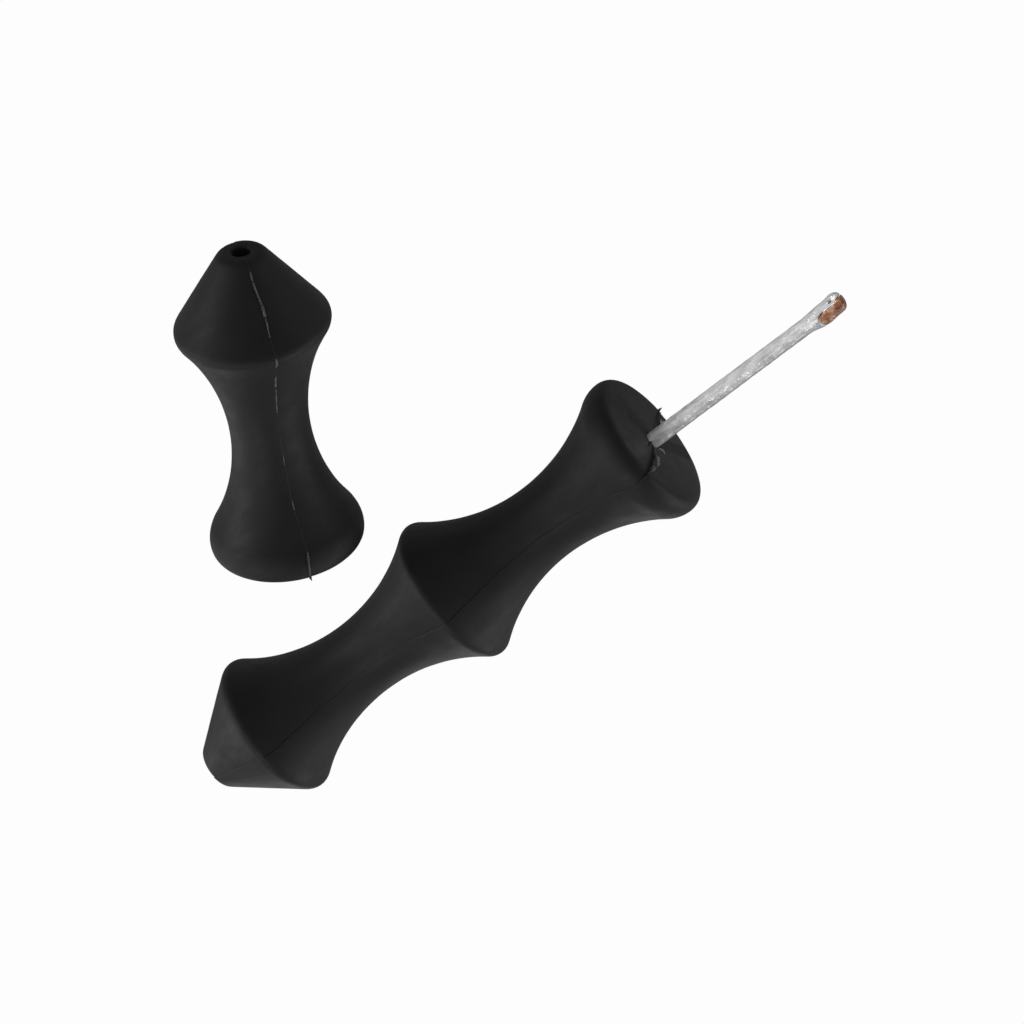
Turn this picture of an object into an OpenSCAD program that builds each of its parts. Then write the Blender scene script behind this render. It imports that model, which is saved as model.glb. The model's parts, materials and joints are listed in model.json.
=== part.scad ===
// Two moulded silicone finger grips for a bowstring, a two-finger one and a
// one-finger one, with the needle that pulls the string through their bores.
// Each grip is a body of revolution: a cone at one end, a deep saddle for each
// finger with a ridge between them, and a blunt rounded end.
// Frame: +X along the long grip towards the needle's tip, +Z up, and the origin
// at the middle of the floor that the set covers. Both grips lie on their ridges.

/* [Grips] */
// Corner diameter of the ridge behind the cone, before its edge is rounded
cone_ridge_d = 16.4; // [15:0.1:18]
// Corner diameter of the ridge between the two fingers, before rounding
mid_ridge_d = 16.7; // [15:0.1:18]
// Corner diameter of the blunt end, before rounding
end_ridge_d = 19.9; // [18.4:0.1:20.4]
// Diameter at the bottom of each finger saddle
waist_d = 8.2; // [6.5:0.1:9.5]
// Diameter of the cone's tip, before rounding
tip_d = 4.6; // [3.6:0.1:5.4]
// Diameter of the bore that the string runs through
bore_d = 1.92; // [1.87:0.01:1.95]

/* [Long grip] */
// Length of the long grip's cone
long_cone = 8.6; // [7:0.1:10]
// Length of the saddle next to the cone, from ridge to ridge
long_saddle_1 = 25.3; // [23:0.1:28]
// Length of the saddle next to the blunt end
long_saddle_2 = 27.1; // [25:0.1:29]

/* [Short grip] */
// Length of the short grip's cone
short_cone = 8.4; // [7:0.1:10]
// Length of the short grip's one saddle
short_saddle = 26.4; // [25:0.1:29]
// How far the short grip's cone tip lies along the long grip
short_x = 45.6; // [44:0.1:56]
// How far the short grip's cone tip lies to the side of the long grip's axis
short_y = 44.2; // [43.5:0.1:52]
// Which way the short grip points, from its blunt end to its cone tip
short_turn = 54.5; // [48:0.1:70]

/* [Edges] */
// Rounding of the cone's tip, measured back from the corner
round_tip = 0.65; // [0.3:0.05:1.2]
// Rounding of the ridges, measured back from the corner
round_ridge = 0.85; // [0.3:0.05:1.5]
// How far along the axis the blunt end's rounding reaches
round_end = 3.2; // [2.4:0.1:4]
// Diameter of the flat face on the blunt end
end_flat_d = 14.2; // [12:0.1:15]
// How full the blunt end's rounding is
end_fullness = 0.46; // [0.3:0.02:0.7]

/* [Needle] */
// Diameter of the needle's shank
needle_d = 1.76; // [1.7:0.01:1.8]
// Length of needle that stands out of the long grip's blunt end
needle_out = 24.9; // [20:0.1:34]
// Length of needle inside the long grip's bore
needle_in = 50; // [40:0.5:56]
// Diameter of the swaged head
head_d = 2.3; // [2:0.05:2.5]
// Length of the swaged head, with its taper
head_len = 4.6; // [4:0.1:6]
// Length of the taper between the shank and the head
head_taper = 1.9; // [1.4:0.1:2.6]
// Width of the eye, a slit through the head
eye_w = 0.3; // [0.2:0.05:0.35]
// Length of the eye
eye_len = 1.1; // [0.8:0.1:1.2]
// Length of the bead that is brazed into the head
bead_len = 3.1; // [2.6:0.1:3.4]

/* [Hidden] */
$fn = 96;

function cat(a, b) = [for (list = [a, b]) for (p = list) p];

// rounded corner between points a and b, with its corner at m; a fuller one has a larger g
function corner(a, m, b, n, g = 1) =
    [for (k = [0:n]) let (w = k / n, p = (1 - w) * (1 - w), q = 2 * w * (1 - w) * g, s = w * w)
        (p * a + q * m + s * b) / (p + q + s)];

// a point at distance s from m towards a
function back(m, a, s) = m + (a - m) * s / norm(a - m);

// A saddle is one arc through two corners c apart, h1 and h2 above its lowest point.
// Its lowest point lies this far from the first corner:
function low(c, h1, h2) = let (a = 1 - h2 / h1, d = c * c + h2 * h2 - h2 / h1 * h1 * h1)
    abs(a) < 1e-6 ? d / (2 * c) : (2 * c - sqrt(4 * c * c - 4 * a * d)) / (2 * a);
// and this is a point of the arc, x from the first corner
function saddle(x0, x, c, r1, r2, rw) = let (u = low(c, r1 - rw, r2 - rw),
    rho = (u * u + (r1 - rw) * (r1 - rw)) / (2 * (r1 - rw)))
    [x0 + x, rw + rho - sqrt(rho * rho - (x - u) * (x - u))];

// the run of a saddle between two of its own lengths
function run(x0, from, to, c, r1, r2, rw, n) =
    [for (k = [1:n - 1]) saddle(x0, from + (to - from) * k / n, c, r1, r2, rw)];

rw = waist_d / 2;
r1 = cone_ridge_d / 2;
r2 = mid_ridge_d / 2;
r3 = end_ridge_d / 2;
rt = tip_d / 2;
e1 = round_ridge * 0.81;   // the ridge's rounding, taken along the axis

// tip, cone and ridge, up to the start of the first saddle
function nose(cone, c, ra, rb) = let (tip = [0, rt], top = [cone, ra])
    cat(cat([[0, 0]], corner([0, rt - round_tip], tip, back(tip, top, round_tip), 4)),
        corner(back(top, tip, round_ridge), top, saddle(cone, e1, c, ra, rb, rw), 4));

// the blunt end, after the last saddle, whose slope its rounding takes up
function butt(x, c, ra) = let (
    a = saddle(x, c - round_end, c, ra, r3, rw),
    b = saddle(x, c - round_end - 0.01, c, ra, r3, rw),
    slope = (a[1] - b[1]) / (a[0] - b[0]))
    cat(corner(a, [x + c, a[1] + slope * round_end], [x + c, end_flat_d / 2], 12, end_fullness), [[x + c, 0]]);

long_x1 = long_cone;
long_x2 = long_x1 + long_saddle_1;
long_x3 = long_x2 + long_saddle_2;
long_profile = cat(cat(cat(nose(long_cone, long_saddle_1, r1, r2),
    run(long_x1, e1, long_saddle_1 - e1, long_saddle_1, r1, r2, rw, 14)),
    cat(corner(saddle(long_x1, long_saddle_1 - e1, long_saddle_1, r1, r2, rw), [long_x2, r2],
               saddle(long_x2, e1, long_saddle_2, r2, r3, rw), 4),
        run(long_x2, e1, long_saddle_2 - round_end, long_saddle_2, r2, r3, rw, 14))),
    butt(long_x2, long_saddle_2, r2));

short_x3 = short_cone + short_saddle;
short_profile = cat(cat(nose(short_cone, short_saddle, r1, r3),
    run(short_cone, e1, short_saddle - round_end, short_saddle, r1, r3, rw, 14)),
    butt(short_cone, short_saddle, r1));

// the grips lie on their widest ridges
axis_z = max([for (p = cat(long_profile, short_profile)) p[1]]);

// where the set's middle lies, from the long grip's cone tip
sx = -cos(short_turn);
sy = -sin(short_turn);
x_low = min(0, min([for (p = short_profile) short_x + p[0] * sx - p[1] * abs(sy)]));
x_high = max(long_x3 + needle_out, max([for (p = short_profile) short_x + p[0] * sx + p[1] * abs(sy)]));
y_low = -max([for (p = long_profile) p[1]]);
y_high = max([for (p = short_profile) short_y + p[0] * sy + p[1] * abs(sx)]);
mid = [(x_low + x_high) / 2, (y_low + y_high) / 2];

head_r = head_d / 2;
pocket_r = 1;              // radius of the pocket's inner end
pocket_edge = 0.25;        // how far the pocket passes the needle's axis
shank_r = needle_d / 2;
needle_tip = needle_in + needle_out;
// the needle's outline, from the end inside the bore to the head
needle_profile = cat(
    cat([[0, 0]], corner([0, shank_r * 0.4], [0, shank_r], [shank_r * 0.6, shank_r], 4)),
    cat(cat([[needle_tip - head_len, shank_r]],
            [[needle_tip - head_len + head_taper, head_r]]),
        cat(corner([needle_tip - 0.85, head_r], [needle_tip, head_r], [needle_tip, head_r * 0.3], 8),
            [[needle_tip, 0]])));

// turns a profile about the X axis
module turned(profile) {
    rotate([0, 90, 0]) rotate([0, 0, 180]) rotate_extrude() polygon([for (p = profile) [p[1], p[0]]]);
}

// puts a grip's own frame in place: x is its distance from the long grip's cone tip
module placed() {
    translate([-mid[0], -mid[1], axis_z]) children();
}

module bored(profile, length) {
    difference() {
        turned(profile);
        translate([-1, 0, 0]) rotate([0, 90, 0]) cylinder(d = bore_d, h = length + 2);
    }
}

module long_grip() {
    color("#1d1d1e") placed() bored(long_profile, long_x3);
}

module short_grip() {
    color("#1d1d1e") placed()
        translate([short_x, short_y, 0]) rotate([0, 0, 180 + short_turn]) bored(short_profile, short_x3);
}

// the pocket in the side of the head that the bead fills, round at its inner end
module pocket() {
    translate([needle_tip - bead_len + pocket_r, -3, -3]) cube([bead_len + 3, 3 + pocket_edge, 6]);
    translate([needle_tip - bead_len + pocket_r, pocket_edge - pocket_r, -3]) cylinder(r = pocket_r, h = 6);
}

// the needle's frame: x from the end inside the bore, turned so that the bead faces up and out
module needle_frame() {
    placed() translate([long_x3 - needle_in, 0, 0]) rotate([-25, 0, 0]) children();
}

module needle() {
    color("#c4c5c8") needle_frame() difference() {
        turned(needle_profile);
        pocket();
        translate([needle_tip - 0.28 - eye_len, 0.42, -2]) cube([eye_len, eye_w, 4]);
    }
}

module tip_bead() {
    color("#7a4630") needle_frame() intersection() {
        turned(needle_profile);
        pocket();
    }
}

long_grip();
short_grip();
needle();
tip_bead();
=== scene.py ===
import json
import math

import bpy
import bmesh
import numpy as np
from mathutils import Matrix, Vector, noise


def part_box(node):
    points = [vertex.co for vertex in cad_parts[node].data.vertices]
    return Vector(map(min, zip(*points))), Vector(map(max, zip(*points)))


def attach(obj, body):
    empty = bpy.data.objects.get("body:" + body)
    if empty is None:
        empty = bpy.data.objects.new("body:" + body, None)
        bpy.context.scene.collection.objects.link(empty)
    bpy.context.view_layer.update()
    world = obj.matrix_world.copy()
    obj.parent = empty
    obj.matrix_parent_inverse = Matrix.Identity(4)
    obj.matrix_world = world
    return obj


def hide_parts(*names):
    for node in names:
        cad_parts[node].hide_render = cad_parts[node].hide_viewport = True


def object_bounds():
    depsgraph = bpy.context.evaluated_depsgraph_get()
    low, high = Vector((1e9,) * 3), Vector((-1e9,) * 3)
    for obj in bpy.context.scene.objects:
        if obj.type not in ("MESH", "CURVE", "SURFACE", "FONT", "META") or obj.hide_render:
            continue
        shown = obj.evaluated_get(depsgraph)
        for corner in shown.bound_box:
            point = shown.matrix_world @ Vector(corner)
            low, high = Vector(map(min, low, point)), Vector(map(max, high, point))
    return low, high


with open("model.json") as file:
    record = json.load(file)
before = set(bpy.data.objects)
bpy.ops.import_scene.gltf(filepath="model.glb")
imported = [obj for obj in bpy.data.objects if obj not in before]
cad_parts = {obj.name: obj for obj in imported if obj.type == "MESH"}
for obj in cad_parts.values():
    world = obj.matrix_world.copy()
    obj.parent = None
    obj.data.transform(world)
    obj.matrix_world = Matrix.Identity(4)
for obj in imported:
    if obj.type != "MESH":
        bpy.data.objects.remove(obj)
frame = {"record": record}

MM = 0.001
cad_low, cad_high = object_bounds()
scene = bpy.context.scene


# ------------------------------------------------------------------ where the CAD put things
long_lo, long_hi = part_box("long_grip")
needle_lo, needle_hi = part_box("needle")
short_lo, short_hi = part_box("short_grip")
mounts = {m["name"]: m for m in frame["record"]["mounts"]}

AXIS_Z = (long_hi.z + long_lo.z) / 2 / MM            # both bores lie at this height
LONG_Y = (long_hi.y + long_lo.y) / 2 / MM            # the long grip's bore runs along +X here
LONG_X0 = long_lo.x / MM                             # its cone tip
LONG_LEN = (long_hi.x - long_lo.x) / MM
NEEDLE_X0 = needle_lo.x / MM
NEEDLE_LEN = (needle_hi.x - needle_lo.x) / MM
bore = mounts["string_bore"]
BORE_R = bore["dims"]["r_mm"]
SHORT_LEN = bore["dims"]["length_mm"]
out_axis = Vector(bore["axis"]).normalized()         # out of the short grip's cone tip
SHORT_TIP = Vector(bore["pos_m"]) / MM + out_axis * (SHORT_LEN / 2)


def placer(origin, along, spin=0.0):
    """Local frame of a turned piece: x along its axis, z up, then turned by spin degrees about x."""
    a = Vector(along).normalized()
    up = Vector((0, 0, 1))
    side = up.cross(a)
    m = Matrix((a, side, up)).transposed().to_4x4()
    return Matrix.Translation(origin) @ m @ Matrix.Rotation(math.radians(spin), 4, "X")


LONG = placer(Vector((LONG_X0, LONG_Y, AXIS_Z)), (1, 0, 0))
SHORT = placer(SHORT_TIP, -out_axis)
NEEDLE = placer(Vector((NEEDLE_X0, LONG_Y, AXIS_Z)), (1, 0, 0), -25)


# ------------------------------------------------------------------ the grips' outline, as in the design
CONE_RIDGE, MID_RIDGE, END_RIDGE = 16.4 / 2, 16.7 / 2, 19.9 / 2
WAIST, TIP = 8.2 / 2, 4.6 / 2
LONG_CONE, LONG_1, LONG_2 = 8.6, 25.3, 27.1
SHORT_CONE, SHORT_1 = 8.4, 26.4
ROUND_TIP, ROUND_RIDGE, ROUND_END, END_FLAT, FULLNESS = 0.65, 0.85, 3.2, 14.2 / 2, 0.46
E1 = ROUND_RIDGE * 0.81


def corner(a, m, b, n, g=1.0):
    a, m, b = (np.array(p, float) for p in (a, m, b))
    out = []
    for w in np.linspace(0, 1, n + 1):
        c = ((1 - w) ** 2, 2 * w * (1 - w) * g, w * w)
        out.append(tuple((c[0] * a + c[1] * m + c[2] * b) / sum(c)))
    return out


def back(m, a, s):
    m, a = np.array(m, float), np.array(a, float)
    return m + (a - m) * s / np.linalg.norm(a - m)


def saddle(x0, x, c, ra, rb):
    h1, h2 = ra - WAIST, rb - WAIST
    a, d = 1 - h2 / h1, c * c + h2 * h2 - h2 * h1
    u = d / (2 * c) if abs(a) < 1e-6 else (2 * c - math.sqrt(4 * c * c - 4 * a * d)) / (2 * a)
    rho = (u * u + h1 * h1) / (2 * h1)
    return (x0 + x, WAIST + rho - math.sqrt(rho * rho - (x - u) ** 2))


def saddle_run(x0, lo, hi, c, ra, rb, n):
    return [saddle(x0, lo + (hi - lo) * k / n, c, ra, rb) for k in range(1, n)]


def nose(cone, c, ra, rb):
    tip, top = (0, TIP), (cone, ra)
    rim = corner((0.26, BORE_R), (0, BORE_R), (0, BORE_R + 0.24), 6)
    face = [(0, BORE_R + 0.24 + (TIP - ROUND_TIP - BORE_R - 0.24) * k / 3) for k in (1, 2)]
    lo, hi = back(tip, top, ROUND_TIP), back(top, tip, ROUND_RIDGE)
    flank = [tuple(lo + (hi - lo) * k / 26) for k in range(1, 26)]
    return (rim + face + corner((0, TIP - ROUND_TIP), tip, lo, 8) + flank
            + corner(hi, top, saddle(cone, E1, c, ra, rb), 8))


def butt(x, c, ra):
    a, b = saddle(x, c - ROUND_END, c, ra, END_RIDGE), saddle(x, c - ROUND_END - 0.01, c, ra, END_RIDGE)
    slope = (a[1] - b[1]) / (a[0] - b[0])
    end = corner(a, (x + c, a[1] + slope * ROUND_END), (x + c, END_FLAT), 34, FULLNESS)
    flat = [(x + c, END_FLAT - (END_FLAT - BORE_R - 0.3) * k / 40) for k in range(1, 40)]
    return end + flat + corner((x + c, BORE_R + 0.3), (x + c, BORE_R), (x + c - 0.32, BORE_R), 6)


def long_outline():
    x1, x2 = LONG_CONE, LONG_CONE + LONG_1
    return (nose(x1, LONG_1, CONE_RIDGE, MID_RIDGE)
            + saddle_run(x1, E1, LONG_1 - E1, LONG_1, CONE_RIDGE, MID_RIDGE, 84)
            + corner(saddle(x1, LONG_1 - E1, LONG_1, CONE_RIDGE, MID_RIDGE), (x2, MID_RIDGE),
                     saddle(x2, E1, LONG_2, MID_RIDGE, END_RIDGE), 8)
            + saddle_run(x2, E1, LONG_2 - ROUND_END, LONG_2, MID_RIDGE, END_RIDGE, 80)
            + butt(x2, LONG_2, MID_RIDGE))


def short_outline():
    return (nose(SHORT_CONE, SHORT_1, CONE_RIDGE, END_RIDGE)
            + saddle_run(SHORT_CONE, E1, SHORT_1 - ROUND_END, SHORT_1, CONE_RIDGE, END_RIDGE, 80)
            + butt(SHORT_CONE, SHORT_1, CONE_RIDGE))


def hump(x, lo, hi):
    """0 outside lo..hi, rising to 1 in the middle"""
    return math.sin(math.pi * (x - lo) / (hi - lo)) ** 2 if lo < x < hi else 0.0


def long_parting(x, r):
    """Angle of the long grip's parting line, in degrees from its side towards up. It wanders a little."""
    if x > LONG_LEN - 0.02:
        return float(np.interp(r, (0.96, 2, 3.7, 4.9, 6.5, 7.1), (86, 85.2, 85.2, 83.5, 81.4, 80.9))
                     + 1.2 * noise.noise(Vector((r * 2.2, 5.1, 0.7))))
    return float(np.interp(x, (0, 1.6, 4, 6.6, 8.8, 11, 13, 16, 18, 20, 22, 24.7, 26.5, 28.5, 36, 37.6, 40, 43.7, 46.2,
                               48, 51, 54.8, 58, 60, LONG_LEN),
                           (80, 79.3, 77.4, 77.2, 78.6, 80.8, 81.8, 81.6, 83.2, 82.6, 80.1, 77.4, 79, 79.9, 79.5, 80.4,
                            79.5, 78.5, 77, 77.6, 78.6, 80.2, 80.8, 81.3, 80.9))
                 + 0.35 * noise.noise(Vector((x * 1.1, 0.3, 2.0))) + 0.25 * noise.noise(Vector((x * 3.1, 1.3, 2.0))))


def short_parting(x, r):
    return float(np.interp(x, (0, 1.7, 3.6, 5.8, 15, 25, 27, 29.6, 31.5, 33, SHORT_LEN),
                           (72.2, 72.6, 69.4, 71.2, 71.4, 72.3, 72.5, 71.2, 70.4, 71.8, 72))
                 + 0.25 * noise.noise(Vector((x * 1.3, 4.3, 2.0))))


def smooth(x, lo, hi):
    t = min(max((x - lo) / (hi - lo), 0.0), 1.0)
    return t * t * (3 - 2 * t)


def normals_2d(P):
    """Outward normals of a profile that runs from the tip's rim over the outside to the end's rim."""
    T = np.gradient(P, axis=0)
    N = np.stack([-T[:, 1], T[:, 0]], 1)
    return N / np.maximum(np.linalg.norm(N, axis=1)[:, None], 1e-9)


def grip_mesh(name, outline, parting, seed, place, flash, step, ring=False):
    """A turned silicone moulding with its parting line: the two halves of the mould meet with a small step, and a low
    bead of flash runs along it, higher where flash(x, side) says so."""
    P = np.array(outline)
    N = normals_2d(P)
    bore = [(P[-1][0] + (P[0][0] - P[-1][0]) * k / 12, BORE_R) for k in range(1, 12)]
    base = list(np.arange(0, 180, 2.5))
    fine = [-6, -4.6, -3.6, -2.9, -2.3, -1.8, -1.4, -1.05, -0.75, -0.5, -0.28, -0.1,
            0.1, 0.28, 0.5, 0.75, 1.05, 1.4, 1.8, 2.3, 2.9, 3.6, 4.6, 6]
    half = sorted([a for a in base if 7 < a < 173] + [a for a in fine if a >= 0] + [180 + a for a in fine if a < 0])
    angles = half + [180 + a for a in half]
    verts, faces = [], []
    n = len(angles)
    for i, (x, r) in enumerate(P):
        line = parting(x, r)
        rim = smooth(x, 0.0, 0.3) * smooth(P[:, 0].max() - x, 0.0, 0.3) if r < BORE_R + 0.3 else 1.0
        for a in angles:
            th = math.radians(line + a)
            w = noise.noise(Vector((x * 0.11 + seed, math.cos(th) * 0.7, math.sin(th) * 0.7))) * 0.045
            w += noise.noise(Vector((x * 0.5 + seed * 3, math.cos(th) * r * 0.5, math.sin(th) * r * 0.5))) * 0.012
            if ring and x > LONG_LEN - 0.02:
                w += 0.05 * math.exp(-((r - 6.5) / 0.10) ** 2) * max(0.0, math.cos(th)) ** 16
            # step between the mould halves
            s0 = r * math.radians(a if a < 180 else a - 360)          # arc length from line one
            s1 = r * math.radians(a - 180)                           # and from line two
            side = math.tanh(s0 / 0.025) if abs(s0) < abs(s1) else -math.tanh(s1 / 0.025)
            w += 0.5 * step * side * math.cos(math.radians(a))
            # bead of flash
            for k, s in ((0, s0), (1, s1)):
                if abs(s) < 0.5:
                    h = flash(x, k) * (0.55 + 0.9 * abs(noise.noise(Vector((x * 1.9 + seed, k * 7.7, 0.3)))))
                    jig = 0.02 * noise.noise(Vector((x * 2.5, seed, k * 3.3)))
                    w += h * math.exp(-((s - jig) / 0.058) ** 2) - 0.40 * h * math.exp(-((s - jig) / 0.17) ** 2)
            w = min(w, 0.098) * rim
            if not ring and x < 0.05:
                w += 0.06 * math.exp(-((r - BORE_R - 0.22) / 0.10) ** 2) * (0.35 + 0.65 * max(0.0, math.cos(th - 2.6)))
            xx, rr = x + N[i][0] * w, r + N[i][1] * w
            verts.append((xx, rr * math.cos(th), rr * math.sin(th)))
    for x, r in bore:
        line = parting(*P[-1]) + (parting(*P[0]) - parting(*P[-1])) * (P[-1][0] - x) / (P[-1][0] - P[0][0])
        for a in angles:
            th = math.radians(line + a)
            verts.append((x, r * math.cos(th), r * math.sin(th)))
    rows = len(P) + len(bore)
    for i in range(rows):
        j = (i + 1) % rows
        for k in range(n):
            l = (k + 1) % n
            faces.append((i * n + k, j * n + k, j * n + l, i * n + l))
    me = bpy.data.meshes.new(name)
    me.from_pydata([place @ Vector(v) * MM for v in verts], [], faces)
    fix_normals(me)
    me.shade_smooth()
    ob = bpy.data.objects.new(name, me)
    scene.collection.objects.link(ob)
    return ob


def fix_normals(me):
    bm = bmesh.new()
    bm.from_mesh(me)
    bmesh.ops.recalc_face_normals(bm, faces=bm.faces)
    bm.to_mesh(me)
    bm.free()


def fin_mesh(path, seed, lean=0.0, thick=0.05):
    """A torn tab of flash as closed geometry: path is a list of (foot, outward, sideways, height)."""
    rng = np.random.default_rng(seed)
    verts, faces = [], []
    for i, (foot, out, side, h) in enumerate(path):
        foot, out, side = Vector(foot), Vector(out).normalized(), Vector(side).normalized()
        j = (rng.random() - 0.5) * 0.05
        t = thick * (0.75 + 0.5 * rng.random())
        base = foot - out * 0.06
        verts += [base - side * t, foot + out * h * 0.5 - side * (t * 0.55) + side * (j + lean * h * 0.4),
                  foot + out * h + side * (j + lean * h - t * 0.22),
                  foot + out * h + side * (j + lean * h + t * 0.22),
                  foot + out * h * 0.5 + side * (t * 0.55) + side * (j + lean * h * 0.4), base + side * t]
    m = 6
    for i in range(len(path) - 1):
        for k in range(m):
            l = (k + 1) % m
            faces.append((i * m + k, (i + 1) * m + k, (i + 1) * m + l, i * m + l))
    faces.append(tuple(range(m)))
    faces.append(tuple((len(path) - 1) * m + k for k in reversed(range(m))))
    return verts, faces


def add_fins(ob, fins, place, slot):
    """Joins the fins into the grip's own mesh; slot is the material they take."""
    bm = bmesh.new()
    bm.from_mesh(ob.data)
    for verts, faces in fins:
        made = [bm.verts.new(place @ Vector(v) * MM) for v in verts]
        new = [bm.faces.new([made[i] for i in f]) for f in faces]
        bmesh.ops.recalc_face_normals(bm, faces=new)
        for f in new:
            f.smooth = False
            f.material_index = slot
    bm.to_mesh(ob.data)
    bm.free()


def fin_path(outline, parting, seed, side, lo, hi, height, pieces=1):
    """Stations of a torn fin along the parting line, between two distances along the outline's length."""
    P = np.array(outline)
    N = normals_2d(P)
    s = np.r_[0, np.cumsum(np.linalg.norm(np.diff(P, axis=0), axis=1))]
    n = max(8, int((hi - lo) / 0.09))
    path = []
    for k in range(n + 1):
        t = lo + (hi - lo) * k / n
        x, r = np.interp(t, s, P[:, 0]), np.interp(t, s, P[:, 1])
        nx, nr = np.interp(t, s, N[:, 0]), np.interp(t, s, N[:, 1])
        th = math.radians(parting(x, r) + 180 * side)
        ragged = 0.45 + 0.75 * abs(noise.noise(Vector((t * 2.3 + seed, seed * 1.7, 0)))) + 0.35 * noise.noise(Vector((t * 6.1, seed, 4.0)))
        h = height * max(0.03, ragged) * math.sin(math.pi * min(max(k / n, 0.02), 0.98)) ** 0.6
        path.append(((x, r * math.cos(th), r * math.sin(th)), (nx, nr * math.cos(th), nr * math.sin(th)),
                     (0, -math.sin(th), math.cos(th)), h))
    return path


def arc_of(outline, x=None, r=None, after=0.0):
    """Distance along the outline at which it first passes x, or falls to radius r, beyond a length x=after."""
    P = np.array(outline)
    s = np.r_[0, np.cumsum(np.linalg.norm(np.diff(P, axis=0), axis=1))]
    for i in range(1, len(P)):
        if x is not None and P[i][0] >= x and P[i][0] >= after and P[i][1] > BORE_R + 0.05:
            return float(s[i])
        if r is not None and P[i][0] >= after and P[i][1] <= r:
            return float(s[i])
    return float(s[-1])


def long_flash(x, side):
    return 0.056 + 0.03 * hump(x, 12, 32) + 0.04 * smooth(x, LONG_LEN - 1.2, LONG_LEN - 0.1)


def short_flash(x, side):
    return (0.022 + 0.055 * (smooth(x, 0.4, 1.0) - smooth(x, 5.4, 6.0)) + 0.05 * hump(x, 8.0, 9.2)
            + 0.045 * (smooth(x, 11.0, 11.6) - smooth(x, 15.5, 16.3)) + 0.03 * hump(x, 20.5, 23.5)
            + 0.035 * hump(x, 25.5, 28.0) + 0.05 * smooth(x, 31.0, 32.5))


def softened(outline, length, sigma=0.32):
    """Blends the edge of the flat end face into its rounding."""
    P = np.array(outline)
    s = np.r_[0, np.cumsum(np.linalg.norm(np.diff(P, axis=0), axis=1))]
    flat = [i for i in range(len(P)) if P[i][0] > length - 1e-6 and P[i][1] > END_FLAT - 1e-6]
    s0 = s[flat[0]]
    dense = np.arange(s0 - 4, s0 + 4, 0.05)
    D = np.c_[np.interp(dense, s, P[:, 0]), np.interp(dense, s, P[:, 1])]
    out = P.copy()
    for i in range(len(P)):
        d = s[i] - s0
        if abs(d) < 2.2:
            g = sigma * math.cos(d / 2.2 * math.pi / 2) + 1e-3
            w = np.exp(-((dense - s[i]) / g) ** 2 / 2)
            out[i] = (D * w[:, None]).sum(0) / w.sum()
    return out


LO = softened(long_outline(), LONG_LEN)
SO = softened(short_outline(), SHORT_LEN)
long_grip = grip_mesh("long_grip_moulding", LO, long_parting, 3.1, LONG, long_flash, 0.07, ring=True)
short_grip = grip_mesh("short_grip_moulding", SO, short_parting, 8.6, SHORT, short_flash, 0.045)

# torn flash across the long grip's end face: a dark ragged line on both sides of the needle, with torn bits whose paler
# base colour is painted highlight
def at(r, after=LONG_LEN - 0.2):
    return arc_of(LO, r=r, after=after)


def shifted(by):
    return lambda x, r: long_parting(x, r) + by


def far_line(by):
    """The parting line on the far side of the hole wanders more."""
    return lambda x, r: long_parting(x, r) + float(np.interp(r, (3.2, 4.1, 5.2, 7.3), (-12, -9.6, -3.5, -1.8))) + by


rim = BORE_R + 0.12
fins = [
    fin_mesh(fin_path(LO, long_parting, 1.3, 0, arc_of(LO, x=59.85), at(rim), 0.50), 11, lean=-0.1, thick=0.085),
    fin_mesh(fin_path(LO, far_line(0), 7.7, 1, at(7.3, 59.5), at(3.2), 0.36), 14, lean=-0.1, thick=0.06),
    fin_mesh(fin_path(LO, far_line(0), 2.4, 1, at(7.7, 59.5), at(7.0, 59.5), 0.50), 16, lean=0.1, thick=0.08),
    fin_mesh(fin_path(LO, shifted(-18), 4.4, 0, at(2.1), at(rim), 0.45), 17, lean=-0.4, thick=0.08),
]
add_fins(long_grip, fins, LONG, 0)
# the fins below take the torn material, whose paler colour paints their highlight
fins = [
    fin_mesh(fin_path(LO, shifted(3.5), 5.2, 0, at(6.7), at(5.0), 0.34), 12, lean=0.8, thick=0.08),
    fin_mesh(fin_path(LO, shifted(10), 2.2, 0, at(4.6), at(2.7), 0.42), 13, lean=0.9, thick=0.09),
    fin_mesh(fin_path(LO, shifted(70), 3.6, 0, at(1.9), at(rim), 0.40), 18, lean=0.2, thick=0.08),
    fin_mesh(fin_path(LO, far_line(-4), 9.4, 1, at(5.9), at(3.3), 0.42), 15, lean=-0.8, thick=0.08),
]
add_fins(long_grip, fins, LONG, 1)
end_at = arc_of(SO, x=SHORT_LEN - 1.7)


def so(x):
    return arc_of(SO, x=x)


# most fins below take the torn material, whose paler colour paints their highlight
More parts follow.
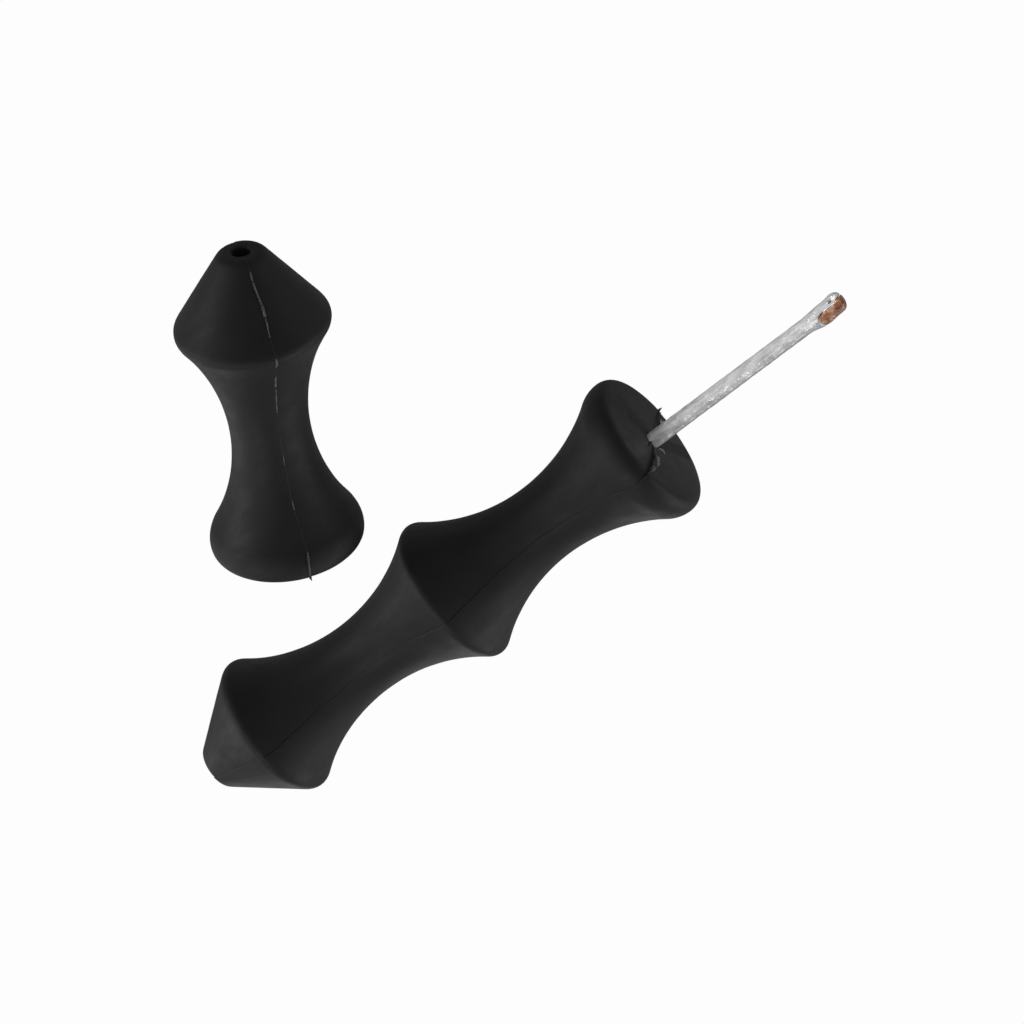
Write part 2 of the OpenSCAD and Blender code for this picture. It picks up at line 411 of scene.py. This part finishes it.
fins = [
    fin_mesh(fin_path(SO, short_parting, 4.1, 0, so(0.75), so(1.6), 0.24), 20, lean=0.3, thick=0.13),
    fin_mesh(fin_path(SO, short_parting, 8.1, 0, so(1.5), so(3.6), 0.30), 21, lean=0.4, thick=0.12),
    fin_mesh(fin_path(SO, short_parting, 1.7, 0, so(3.5), so(4.5), 0.34), 27, lean=-0.2, thick=0.17),
    fin_mesh(fin_path(SO, short_parting, 6.6, 0, so(4.5), so(6.2), 0.24), 22, lean=-0.5, thick=0.09),
    fin_mesh(fin_path(SO, short_parting, 2.9, 0, so(8.2), so(9.1), 0.26), 23, lean=0.3, thick=0.15),
    fin_mesh(fin_path(SO, short_parting, 3.9, 0, so(10.9), so(12.6), 0.22), 24, lean=0.4, thick=0.13),
    fin_mesh(fin_path(SO, short_parting, 7.3, 0, so(12.9), so(16.2), 0.17), 28, lean=-0.3, thick=0.09),
    fin_mesh(fin_path(SO, short_parting, 5.9, 0, so(21.6), so(22.8), 0.14), 29, lean=0.3, thick=0.09),
    fin_mesh(fin_path(SO, short_parting, 0.9, 0, so(26.3), so(27.6), 0.14), 30, lean=0.3, thick=0.10),
    fin_mesh(fin_path(SO, short_parting, 9.3, 0, end_at - 1.6, end_at + 1.4, 0.38), 25, lean=0.4, thick=0.13),
]
add_fins(short_grip, fins, SHORT, 1)
fins = [fin_mesh(fin_path(SO, short_parting, 5.5, 0, end_at + 0.9, end_at + 1.8, 0.75), 26, lean=-0.2, thick=0.11)]
add_fins(short_grip, fins, SHORT, 0)


# ------------------------------------------------------------------ the needle
HEAD_R, SHANK_R, HEAD_LEN, HEAD_TAPER = 2.3 / 2, 1.76 / 2, 4.6, 1.9
BEAD_LEN = 3.1
EYE_LEN, EYE_W, EYE_END, EYE_LOW = 1.1, 0.3, 0.28, 0.42
NEEDLE_IN = LONG_X0 + LONG_LEN - NEEDLE_X0


def needle_outline():
    t = NEEDLE_LEN
    P = [(0, 0.0)] + corner((0, SHANK_R * 0.4), (0, SHANK_R), (SHANK_R * 0.6, SHANK_R), 6)
    a, b = P[-1][0], t - HEAD_LEN
    n = int((b - 0.5 - a) / 0.16)
    P += [(a + (b - 0.5 - a) * k / n, SHANK_R) for k in range(1, n)]
    slope, c = (HEAD_R - SHANK_R) / HEAD_TAPER, b + HEAD_TAPER
    P += corner((b - 0.5, SHANK_R), (b, SHANK_R), (b + 0.5, SHANK_R + 0.5 * slope), 5)
    P += [(b + 0.5 + (HEAD_TAPER - 0.9) * k / 8, SHANK_R + slope * (0.5 + (HEAD_TAPER - 0.9) * k / 8)) for k in range(1, 8)]
    P += corner((c - 0.4, HEAD_R - 0.4 * slope), (c, HEAD_R), (c + 0.4, HEAD_R), 5)
    P += [(c + 0.4 + (t - 0.85 - c - 0.4) * k / 12, HEAD_R) for k in range(1, 12)]
    P += corner((t - 0.85, HEAD_R), (t, HEAD_R), (t, HEAD_R * 0.3), 14)
    return P + [(t, 0.0)]


def sag(x):
    """How far the wire's middle lies from the bore's axis, towards the bead: it is hardly bent until the head."""
    t = NEEDLE_LEN
    return (0.003 * max(0.0, min(x, t - 4.6) - NEEDLE_IN) + 0.08 * smooth(x, t - 4.7, t - 3.2)
            - 0.13 * smooth(x, t - 2.2, t - 0.9))


def turned_mesh(P, n, rough):
    """A closed turned mesh with rough(x, angle, r) added to the radius, capped by fans on the axis."""
    bm = bmesh.new()
    rows = []
    for x, r in P:
        if r < 1e-6:
            rows.append([bm.verts.new((x, -sag(x), 0))])
            continue
        row = []
        for k in range(n):
            a = 2 * math.pi * k / n
            rr = r + rough(x, a, r)
            row.append(bm.verts.new((x, rr * math.cos(a) - sag(x), rr * math.sin(a))))
        rows.append(row)
    for A, B in zip(rows, rows[1:]):
        for k in range(n):
            l = (k + 1) % n
            if len(A) == 1:
                bm.faces.new((A[0], B[k], B[l]))
            elif len(B) == 1:
                bm.faces.new((A[k], B[0], A[l]))
            else:
                bm.faces.new((A[k], B[k], B[l], A[l]))
    bmesh.ops.recalc_face_normals(bm, faces=bm.faces)
    return bm


def shank_rough(x, a, r):
    """Mottled drawn wire: shallow pits and streaks that run with the wire, and a slight ovality."""
    p = Vector((x * 0.9, math.cos(a) * 1.6, math.sin(a) * 1.6))
    q = Vector((x * 1.9 + 9, math.cos(a) * 2.6, math.sin(a) * 2.6))
    w = 0.022 * noise.noise(p) + 0.024 * noise.noise(q) - 0.02 + 0.008 * math.cos(2 * a + x * 0.05)
    return w * smooth(r, 0.0, SHANK_R)


def head_rough(x, a, r):
    t = smooth(x, NEEDLE_LEN - HEAD_LEN, NEEDLE_LEN - 1.2)
    lump = 0.05 * noise.noise(Vector((x * 1.4 + 4, math.cos(a) * 1.3, math.sin(a) * 1.3)))
    return shank_rough(x, a, r) + t * (lump - 0.02) * smooth(r, 0.0, SHANK_R)


def link_bm(name, bm, place):
    me = bpy.data.meshes.new(name)
    for v in bm.verts:
        v.co = place @ v.co * MM
    bm.to_mesh(me)
    bm.free()
    me.shade_smooth()
    ob = bpy.data.objects.new(name, me)
    scene.collection.objects.link(ob)
    return ob


def box_bm(lo, hi, cuts=0):
    bm = bmesh.new()
    bmesh.ops.create_cube(bm, size=1.0)
    for v in bm.verts:
        v.co = Vector([lo[i] + (hi[i] - lo[i]) * (v.co[i] + 0.5) for i in range(3)])
    return bm


def pocket_object(grow, name):
    """The pocket in the head that the bead fills, a slot with a round inner end, grown by grow."""
    edge = [(2, 0.50), (0, 0.48), (-0.2, 0.43), (-0.4, 0.34), (-0.7, 0.22), (-1.1, 0.13), (-1.6, 0.11), (-2.1, 0.12),
            (-2.45, 0.08), (-2.75, -0.01), (-2.95, -0.14), (-3.07, -0.33), (-3.12, -0.58), (-3.1, -0.85), (-2.98, -1.15),
            (-2.7, -3.0), (2, -3.0)]
    edge = [(x * BEAD_LEN / 3.12, y) for x, y in edge]
    ring = [(NEEDLE_LEN + x - (grow if x < -2.9 else 0), y + (grow if y > -0.2 else 0)) for x, y in edge]
    bm = bmesh.new()
    lo = [bm.verts.new((x, y, -3)) for x, y in ring]
    hi = [bm.verts.new((x, y, 3)) for x, y in ring]
    n = len(ring)
    for k in range(n):
        bm.faces.new((lo[k], lo[(k + 1) % n], hi[(k + 1) % n], hi[k]))
    bm.faces.new(lo[::-1])
    bm.faces.new(hi)
    bmesh.ops.recalc_face_normals(bm, faces=bm.faces)
    return link_bm(name, bm, NEEDLE)


def apply_modifiers(ob):
    dg = bpy.context.evaluated_depsgraph_get()
    me = bpy.data.meshes.new_from_object(ob.evaluated_get(dg), preserve_all_data_layers=False, depsgraph=dg)
    ob.modifiers.clear()
    old = ob.data
    ob.data = me
    bpy.data.meshes.remove(old)


def boolean(ob, other, operation):
    m = ob.modifiers.new("cut", "BOOLEAN")
    m.operation, m.solver, m.object = operation, "EXACT", other
    bpy.context.view_layer.update()
    apply_modifiers(ob)
    bpy.data.objects.remove(other)


needle = link_bm("needle_shank", turned_mesh(needle_outline(), 56, head_rough), NEEDLE)
boolean(needle, pocket_object(0.045, "pocket_cut"), "DIFFERENCE")
eye = box_bm((-EYE_LEN / 2, -EYE_W / 2, -2), (EYE_LEN / 2, EYE_W / 2, 2))
bmesh.ops.bevel(eye, geom=[e for e in eye.edges if abs(e.verts[0].co.z - e.verts[1].co.z) > 1], offset=EYE_W * 0.45, segments=4, profile=0.5, affect="EDGES")
turn = Matrix.Translation((NEEDLE_LEN - EYE_END - EYE_LEN / 2, EYE_LOW + EYE_W / 2, 0)) @ Matrix.Rotation(math.radians(14), 4, "Z")
for v in eye.verts:
    v.co = turn @ v.co
boolean(needle, link_bm("eye_cut", eye, NEEDLE), "DIFFERENCE")


def bead_rough(x, a, r):
    return 0.05 * noise.noise(Vector((x * 1.6, math.cos(a) * 1.5 + 7, math.sin(a) * 1.5))) + 0.035 * noise.noise(Vector((x * 3.3 + 2, math.cos(a) * 2.7, math.sin(a) * 2.7 + 5))) - 0.035


P = [(x, r) for x, r in needle_outline() if x > NEEDLE_LEN - BEAD_LEN - 0.4 and r > 0]
P = [(P[0][0], 0.0)] + P + [(NEEDLE_LEN, 0.0)]
bead = link_bm("tip_bead_braze", turned_mesh(P, 72, bead_rough), NEEDLE)
boolean(bead, pocket_object(-0.075, "pocket_fill"), "INTERSECT")
m = bead.modifiers.new("even", "REMESH")
m.mode, m.voxel_size = "VOXEL", 0.045 * MM
m = bead.modifiers.new("round", "SMOOTH")
m.factor, m.iterations = 0.5, 7
bpy.context.view_layer.update()
apply_modifiers(bead)
bead.data.shade_smooth()


# ------------------------------------------------------------------ materials
def material(name):
    m = bpy.data.materials.new(name)
    m.use_nodes = True
    nt = m.node_tree
    nt.nodes.clear()
    out = nt.nodes.new("ShaderNodeOutputMaterial")
    bsdf = nt.nodes.new("ShaderNodeBsdfPrincipled")
    nt.links.new(bsdf.outputs[0], out.inputs[0])
    return m, nt, bsdf


def add(nt, kind, **values):
    node = nt.nodes.new(kind)
    for k, v in values.items():
        if hasattr(node, k):
            setattr(node, k, v)
        else:
            node.inputs[k.replace("_", " ")].default_value = v
    return node


def mapped_noise(nt, scale, detail=3.0, rough=0.5, stretch=(1, 1, 1), turn=0.0, lac=2.0):
    co = add(nt, "ShaderNodeTexCoord")
    mp = add(nt, "ShaderNodeMapping")
    mp.inputs["Scale"].default_value = stretch
    mp.inputs["Rotation"].default_value = (0, 0, turn)
    nt.links.new(co.outputs["Object"], mp.inputs["Vector"])
    n = add(nt, "ShaderNodeTexNoise")
    n.inputs["Scale"].default_value = scale
    n.inputs["Detail"].default_value = detail
    n.inputs["Roughness"].default_value = rough
    n.inputs["Lacunarity"].default_value = lac
    nt.links.new(mp.outputs[0], n.inputs["Vector"])
    return n


def ramp(nt, source, stops, interpolation="LINEAR"):
    r = add(nt, "ShaderNodeValToRGB")
    r.color_ramp.interpolation = interpolation
    el = r.color_ramp.elements
    while len(el) > len(stops):
        el.remove(el[-1])
    while len(el) < len(stops):
        el.new(0.5)
    for e, (p, c) in zip(el, stops):
        e.position = p
        e.color = (*c, 1) if isinstance(c, tuple) else (c, c, c, 1)
    nt.links.new(source, r.inputs[0])
    return r


def math_node(nt, op, a, b=None):
    n = add(nt, "ShaderNodeMath")
    n.operation = op
    for i, v in enumerate((a, b)):
        if v is None:
            continue
        if isinstance(v, (int, float)):
            n.inputs[i].default_value = v
        else:
            nt.links.new(v, n.inputs[i])
    return n.outputs[0]


def bump(nt, height, strength, distance, normal=None):
    b = add(nt, "ShaderNodeBump")
    b.inputs["Strength"].default_value = strength
    b.inputs["Distance"].default_value = distance
    nt.links.new(height, b.inputs["Height"])
    if normal is not None:
        nt.links.new(normal, b.inputs["Normal"])
    return b.outputs[0]


def silicone(name, turn):
    """Matte black moulded silicone: fine eroded mould texture, cloudy bloom, faint dust and handling marks."""
    m, nt, bsdf = material(name)
    cloud = mapped_noise(nt, 210, 4, 0.55, (1, 1, 1), turn)
    fine = mapped_noise(nt, 2600, 3, 0.6, (1, 1, 1), turn)
    grain = mapped_noise(nt, 5200, 2, 0.5, (1, 1, 1), turn)
    marks = mapped_noise(nt, 700, 5, 0.62, (0.25, 1, 1), turn)
    base = ramp(nt, cloud.outputs[0], [(0.30, (0.0120, 0.0120, 0.0125)), (0.70, (0.0185, 0.0185, 0.0190))])
    nt.links.new(base.outputs[0], bsdf.inputs["Base Color"])
    r = ramp(nt, marks.outputs[0], [(0.30, 0.50), (0.50, 0.58), (0.72, 0.66)])
    nt.links.new(r.outputs[0], bsdf.inputs["Roughness"])
    bsdf.inputs["IOR"].default_value = 1.42
    bsdf.inputs["Sheen Weight"].default_value = 0.04
    bsdf.inputs["Sheen Roughness"].default_value = 0.5
    n1 = bump(nt, fine.outputs[0], 0.35, 0.00003)
    n2 = bump(nt, grain.outputs[0], 0.25, 0.000015, n1)
    n3 = bump(nt, marks.outputs[0], 0.15, 0.00005, n2)
    nt.links.new(n3, bsdf.inputs["Normal"])
    return m


def torn(name, painted_highlight_tone):
    """Torn flash: the same silicone with a paler base colour that paints the highlight on the torn bits' lit faces, and
    rough where it broke.
    """
    m, nt, bsdf = material(name)
    # the paler patches of base colour from this noise are painted highlight
    stretch = mapped_noise(nt, 2400, 3, 0.6)
    grain = mapped_noise(nt, 6000, 2, 0.5)
    base = ramp(nt, stretch.outputs[0], [(0.30, (0.3 * painted_highlight_tone,) * 3), (0.46, (0.75 * painted_highlight_tone,) * 3), (0.62, (painted_highlight_tone,) * 3)])
    nt.links.new(base.outputs[0], bsdf.inputs["Base Color"])
    r = ramp(nt, grain.outputs[0], [(0.3, 0.5), (0.7, 0.75)])
    nt.links.new(r.outputs[0], bsdf.inputs["Roughness"])
    bsdf.inputs["IOR"].default_value = 1.42
    nt.links.new(bump(nt, grain.outputs[0], 0.4, 0.00003), bsdf.inputs["Normal"])
    return m


def steel(name):
    """Tinned wire: mottled silver with streaks that run along it; its colour is darker in the bump's hollows and
    lighter on its rises, which is painted shade and highlight.
    """
    m, nt, bsdf = material(name)
    mottle_and_painted_light = mapped_noise(nt, 1500, 3, 0.55, (0.45, 1, 1))
    streak = mapped_noise(nt, 1300, 3, 0.6, (0.12, 1, 1))
    pits = mapped_noise(nt, 2600, 2, 0.5, (0.6, 1, 1))
    # the base colour follows the bump noise: painted shade in the hollows, painted highlight on the rises
    base = ramp(nt, mottle_and_painted_light.outputs[0], [(0.30, (0.58, 0.58, 0.59)), (0.46, (0.80, 0.80, 0.81)), (0.62, (0.95, 0.95, 0.95))])
    nt.links.new(base.outputs[0], bsdf.inputs["Base Color"])
    bsdf.inputs["Metallic"].default_value = 0.55
    r = ramp(nt, streak.outputs[0], [(0.30, 0.22), (0.52, 0.31), (0.72, 0.44)])
    nt.links.new(r.outputs[0], bsdf.inputs["Roughness"])
    n1 = bump(nt, mottle_and_painted_light.outputs[0], 0.9, 0.00018)
    n2 = bump(nt, pits.outputs[0], 0.3, 0.00003, n1)
    nt.links.new(n2, bsdf.inputs["Normal"])
    return m


def braze(name):
    """Copper-brown braze with a glassy skin of flux: its colour runs from dark in the bump's hollows, painted shade, to
    orange and pink on its rises, painted highlight.
    """
    m, nt, bsdf = material(name)
    flow_and_painted_light = mapped_noise(nt, 1250, 3, 0.6)
    spots = mapped_noise(nt, 2400, 3, 0.6)
    # the colour follows the bump noise: a copper-brown tone, with painted shade in the hollows and painted highlight in
    # orange and pink on the rises
    base = ramp(nt, flow_and_painted_light.outputs[0], [(0.32, (0.09, 0.032, 0.020)), (0.44, (0.30, 0.12, 0.065)),
                                      (0.55, (0.50, 0.25, 0.14)), (0.68, (0.68, 0.46, 0.33))])
    nt.links.new(base.outputs[0], bsdf.inputs["Base Color"])
    bsdf.inputs["Metallic"].default_value = 0.35
    r = ramp(nt, spots.outputs[0], [(0.35, 0.18), (0.65, 0.42)])
    nt.links.new(r.outputs[0], bsdf.inputs["Roughness"])
    bsdf.inputs["Coat Weight"].default_value = 0.7
    bsdf.inputs["Coat Roughness"].default_value = 0.08
    n1 = bump(nt, flow_and_painted_light.outputs[0], 0.9, 0.00022)
    n2 = bump(nt, spots.outputs[0], 0.4, 0.00004, n1)
    nt.links.new(n2, bsdf.inputs["Normal"])
    return m


# the surface's unevenness stays inside the CAD model's box
for ob in (long_grip, short_grip, needle, bead):
    for v in ob.data.vertices:
        v.co = [min(max(v.co[i], cad_low[i] + 2e-6), cad_high[i] - 2e-6) for i in range(3)]
    ob.data.update()

long_grip.data.materials.append(silicone("silicone_long", 0.0))
short_grip.data.materials.append(silicone("silicone_short", math.radians(54.5)))
# paler base colours for the torn fins are painted highlight, stronger on the long grip than on the short
for ob, name, painted_highlight_tone in ((long_grip, "torn_long_painted_highlight", 0.32), (short_grip, "torn_short_painted_highlight", 0.19)):
    ob.data.materials.append(torn(name, painted_highlight_tone))
needle.data.materials.append(steel("tinned_steel"))
bead.data.materials.append(braze("copper_braze"))

for ob, body, node, slot in ((long_grip, "long_grip_body", "long_grip", "silicone"),
                             (short_grip, "short_grip_body", "short_grip", "silicone"),
                             (needle, "needle_body", "needle", "needle_steel"),
                             (bead, "needle_body", "tip_bead", "braze")):
    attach(ob, body)
    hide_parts(node)


# ------------------------------------------------------------------ camera
AZIMUTH, ELEVATION, ROLL = 139.3718, 56.1383, 178.4355
DISTANCE, FOCAL_PX = 531.989 * MM, 5123.366
TARGET = Vector((-1.845, -19.686, 0.027)) * MM
a, e = math.radians(AZIMUTH), math.radians(ELEVATION)
away = Vector((math.sin(a) * math.cos(e), -math.cos(a) * math.cos(e), math.sin(e)))
cam_data = bpy.data.cameras.new("camera")
cam_data.sensor_width = 36.0
cam_data.lens = FOCAL_PX / 1024 * 36.0
cam_data.shift_x, cam_data.shift_y = -0.5 / 1024, 0.5 / 1024
cam_data.clip_start, cam_data.clip_end = 0.01, 10.0
cam = bpy.data.objects.new("camera", cam_data)
scene.collection.objects.link(cam)
cam.rotation_mode = "QUATERNION"
cam.location = TARGET + away * DISTANCE
cam.rotation_quaternion = (-away).to_track_quat("-Z", "Y") @ Matrix.Rotation(math.radians(ROLL), 3, "Z").to_quaternion()
scene.camera = cam


# ------------------------------------------------------------------ floor and light
AMBIENT = 0.18
SPOT_WATTS = 12.0
# soft round lights 0.6 m from the set: azimuth from +X, elevation, watts
LIGHTS = ((167, 8, 0.21), (272, 30, 0.27), (137, 8, 0.80), (227, -16, 0.30), (182, 52, 0.56), (317, 8, 0.50),
          (182, -16, 0.27), (287, 8, 0.47))

bm = bmesh.new()
for x, y in ((-1, -1), (1, -1), (1, 1), (-1, 1)):
    bm.verts.new((x * 1.5, y * 1.5, -0.00002))
bm.verts.ensure_lookup_table()
bm.faces.new(bm.verts)
me = bpy.data.meshes.new("floor")
bm.to_mesh(me)
bm.free()
floor = bpy.data.objects.new("floor", me)
scene.collection.objects.link(floor)
m = bpy.data.materials.new("floor_white")
m.use_nodes = True
m.node_tree.nodes.clear()
glow = m.node_tree.nodes.new("ShaderNodeEmission")
glow.inputs[0].default_value = (0.9823, 0.9823, 0.9823, 1)
glow.inputs[1].default_value = 1.0
m.node_tree.links.new(glow.outputs[0], m.node_tree.nodes.new("ShaderNodeOutputMaterial").inputs[0])
me.materials.append(m)
floor.visible_diffuse = floor.visible_glossy = floor.visible_transmission = floor.visible_shadow = False

world = bpy.data.worlds.new("studio")
world.use_nodes = True
nt = world.node_tree
dim = nt.nodes["Background"]
dim.inputs[0].default_value = (1, 1, 1, 1)
dim.inputs[1].default_value = AMBIENT
seen = nt.nodes.new("ShaderNodeBackground")
seen.inputs[0].default_value = (0.9823, 0.9823, 0.9823, 1)
mix = nt.nodes.new("ShaderNodeMixShader")
nt.links.new(nt.nodes.new("ShaderNodeLightPath").outputs["Is Camera Ray"], mix.inputs[0])
nt.links.new(dim.outputs[0], mix.inputs[1])
nt.links.new(seen.outputs[0], mix.inputs[2])
nt.links.new(mix.outputs[0], nt.nodes["World Output"].inputs[0])
scene.world = world

for k, (azimuth, elevation, power) in enumerate(LIGHTS):
    a, e = math.radians(azimuth), math.radians(elevation)
    d = Vector((math.cos(a) * math.cos(e), math.sin(a) * math.cos(e), math.sin(e)))
    data = bpy.data.lights.new("softbox_%d" % k, "AREA")
    data.shape, data.size, data.energy = "DISK", 0.36, power
    ob = bpy.data.objects.new("softbox_%d" % k, data)
    scene.collection.objects.link(ob)
    ob.location = d * 0.6
    ob.rotation_mode = "QUATERNION"
    ob.rotation_quaternion = (-d).to_track_quat("-Z", "Y")
    ob.visible_camera = False

# a narrow soft spot that only reaches the needle, from beside the camera
middle = LONG @ Vector((LONG_LEN + 16.5, 0, 0)) * MM
right, up = cam.rotation_quaternion @ Vector((1, 0, 0)), cam.rotation_quaternion @ Vector((0, 1, 0))
d = (away + right * -0.30 + up * 0.42).normalized()
data = bpy.data.lights.new("spot", "SPOT")
data.energy, data.spot_size, data.spot_blend, data.shadow_soft_size = SPOT_WATTS, math.radians(3.0), 0.35, 0.003
ob = bpy.data.objects.new("spot", data)
scene.collection.objects.link(ob)
ob.location = middle + d * 0.6
ob.rotation_mode = "QUATERNION"
ob.rotation_quaternion = (-d).to_track_quat("-Z", "Y")

scene.view_settings.view_transform = "Standard"
scene.view_settings.look = "None"
scene.view_settings.exposure = 0.0
scene.view_settings.gamma = 1.0
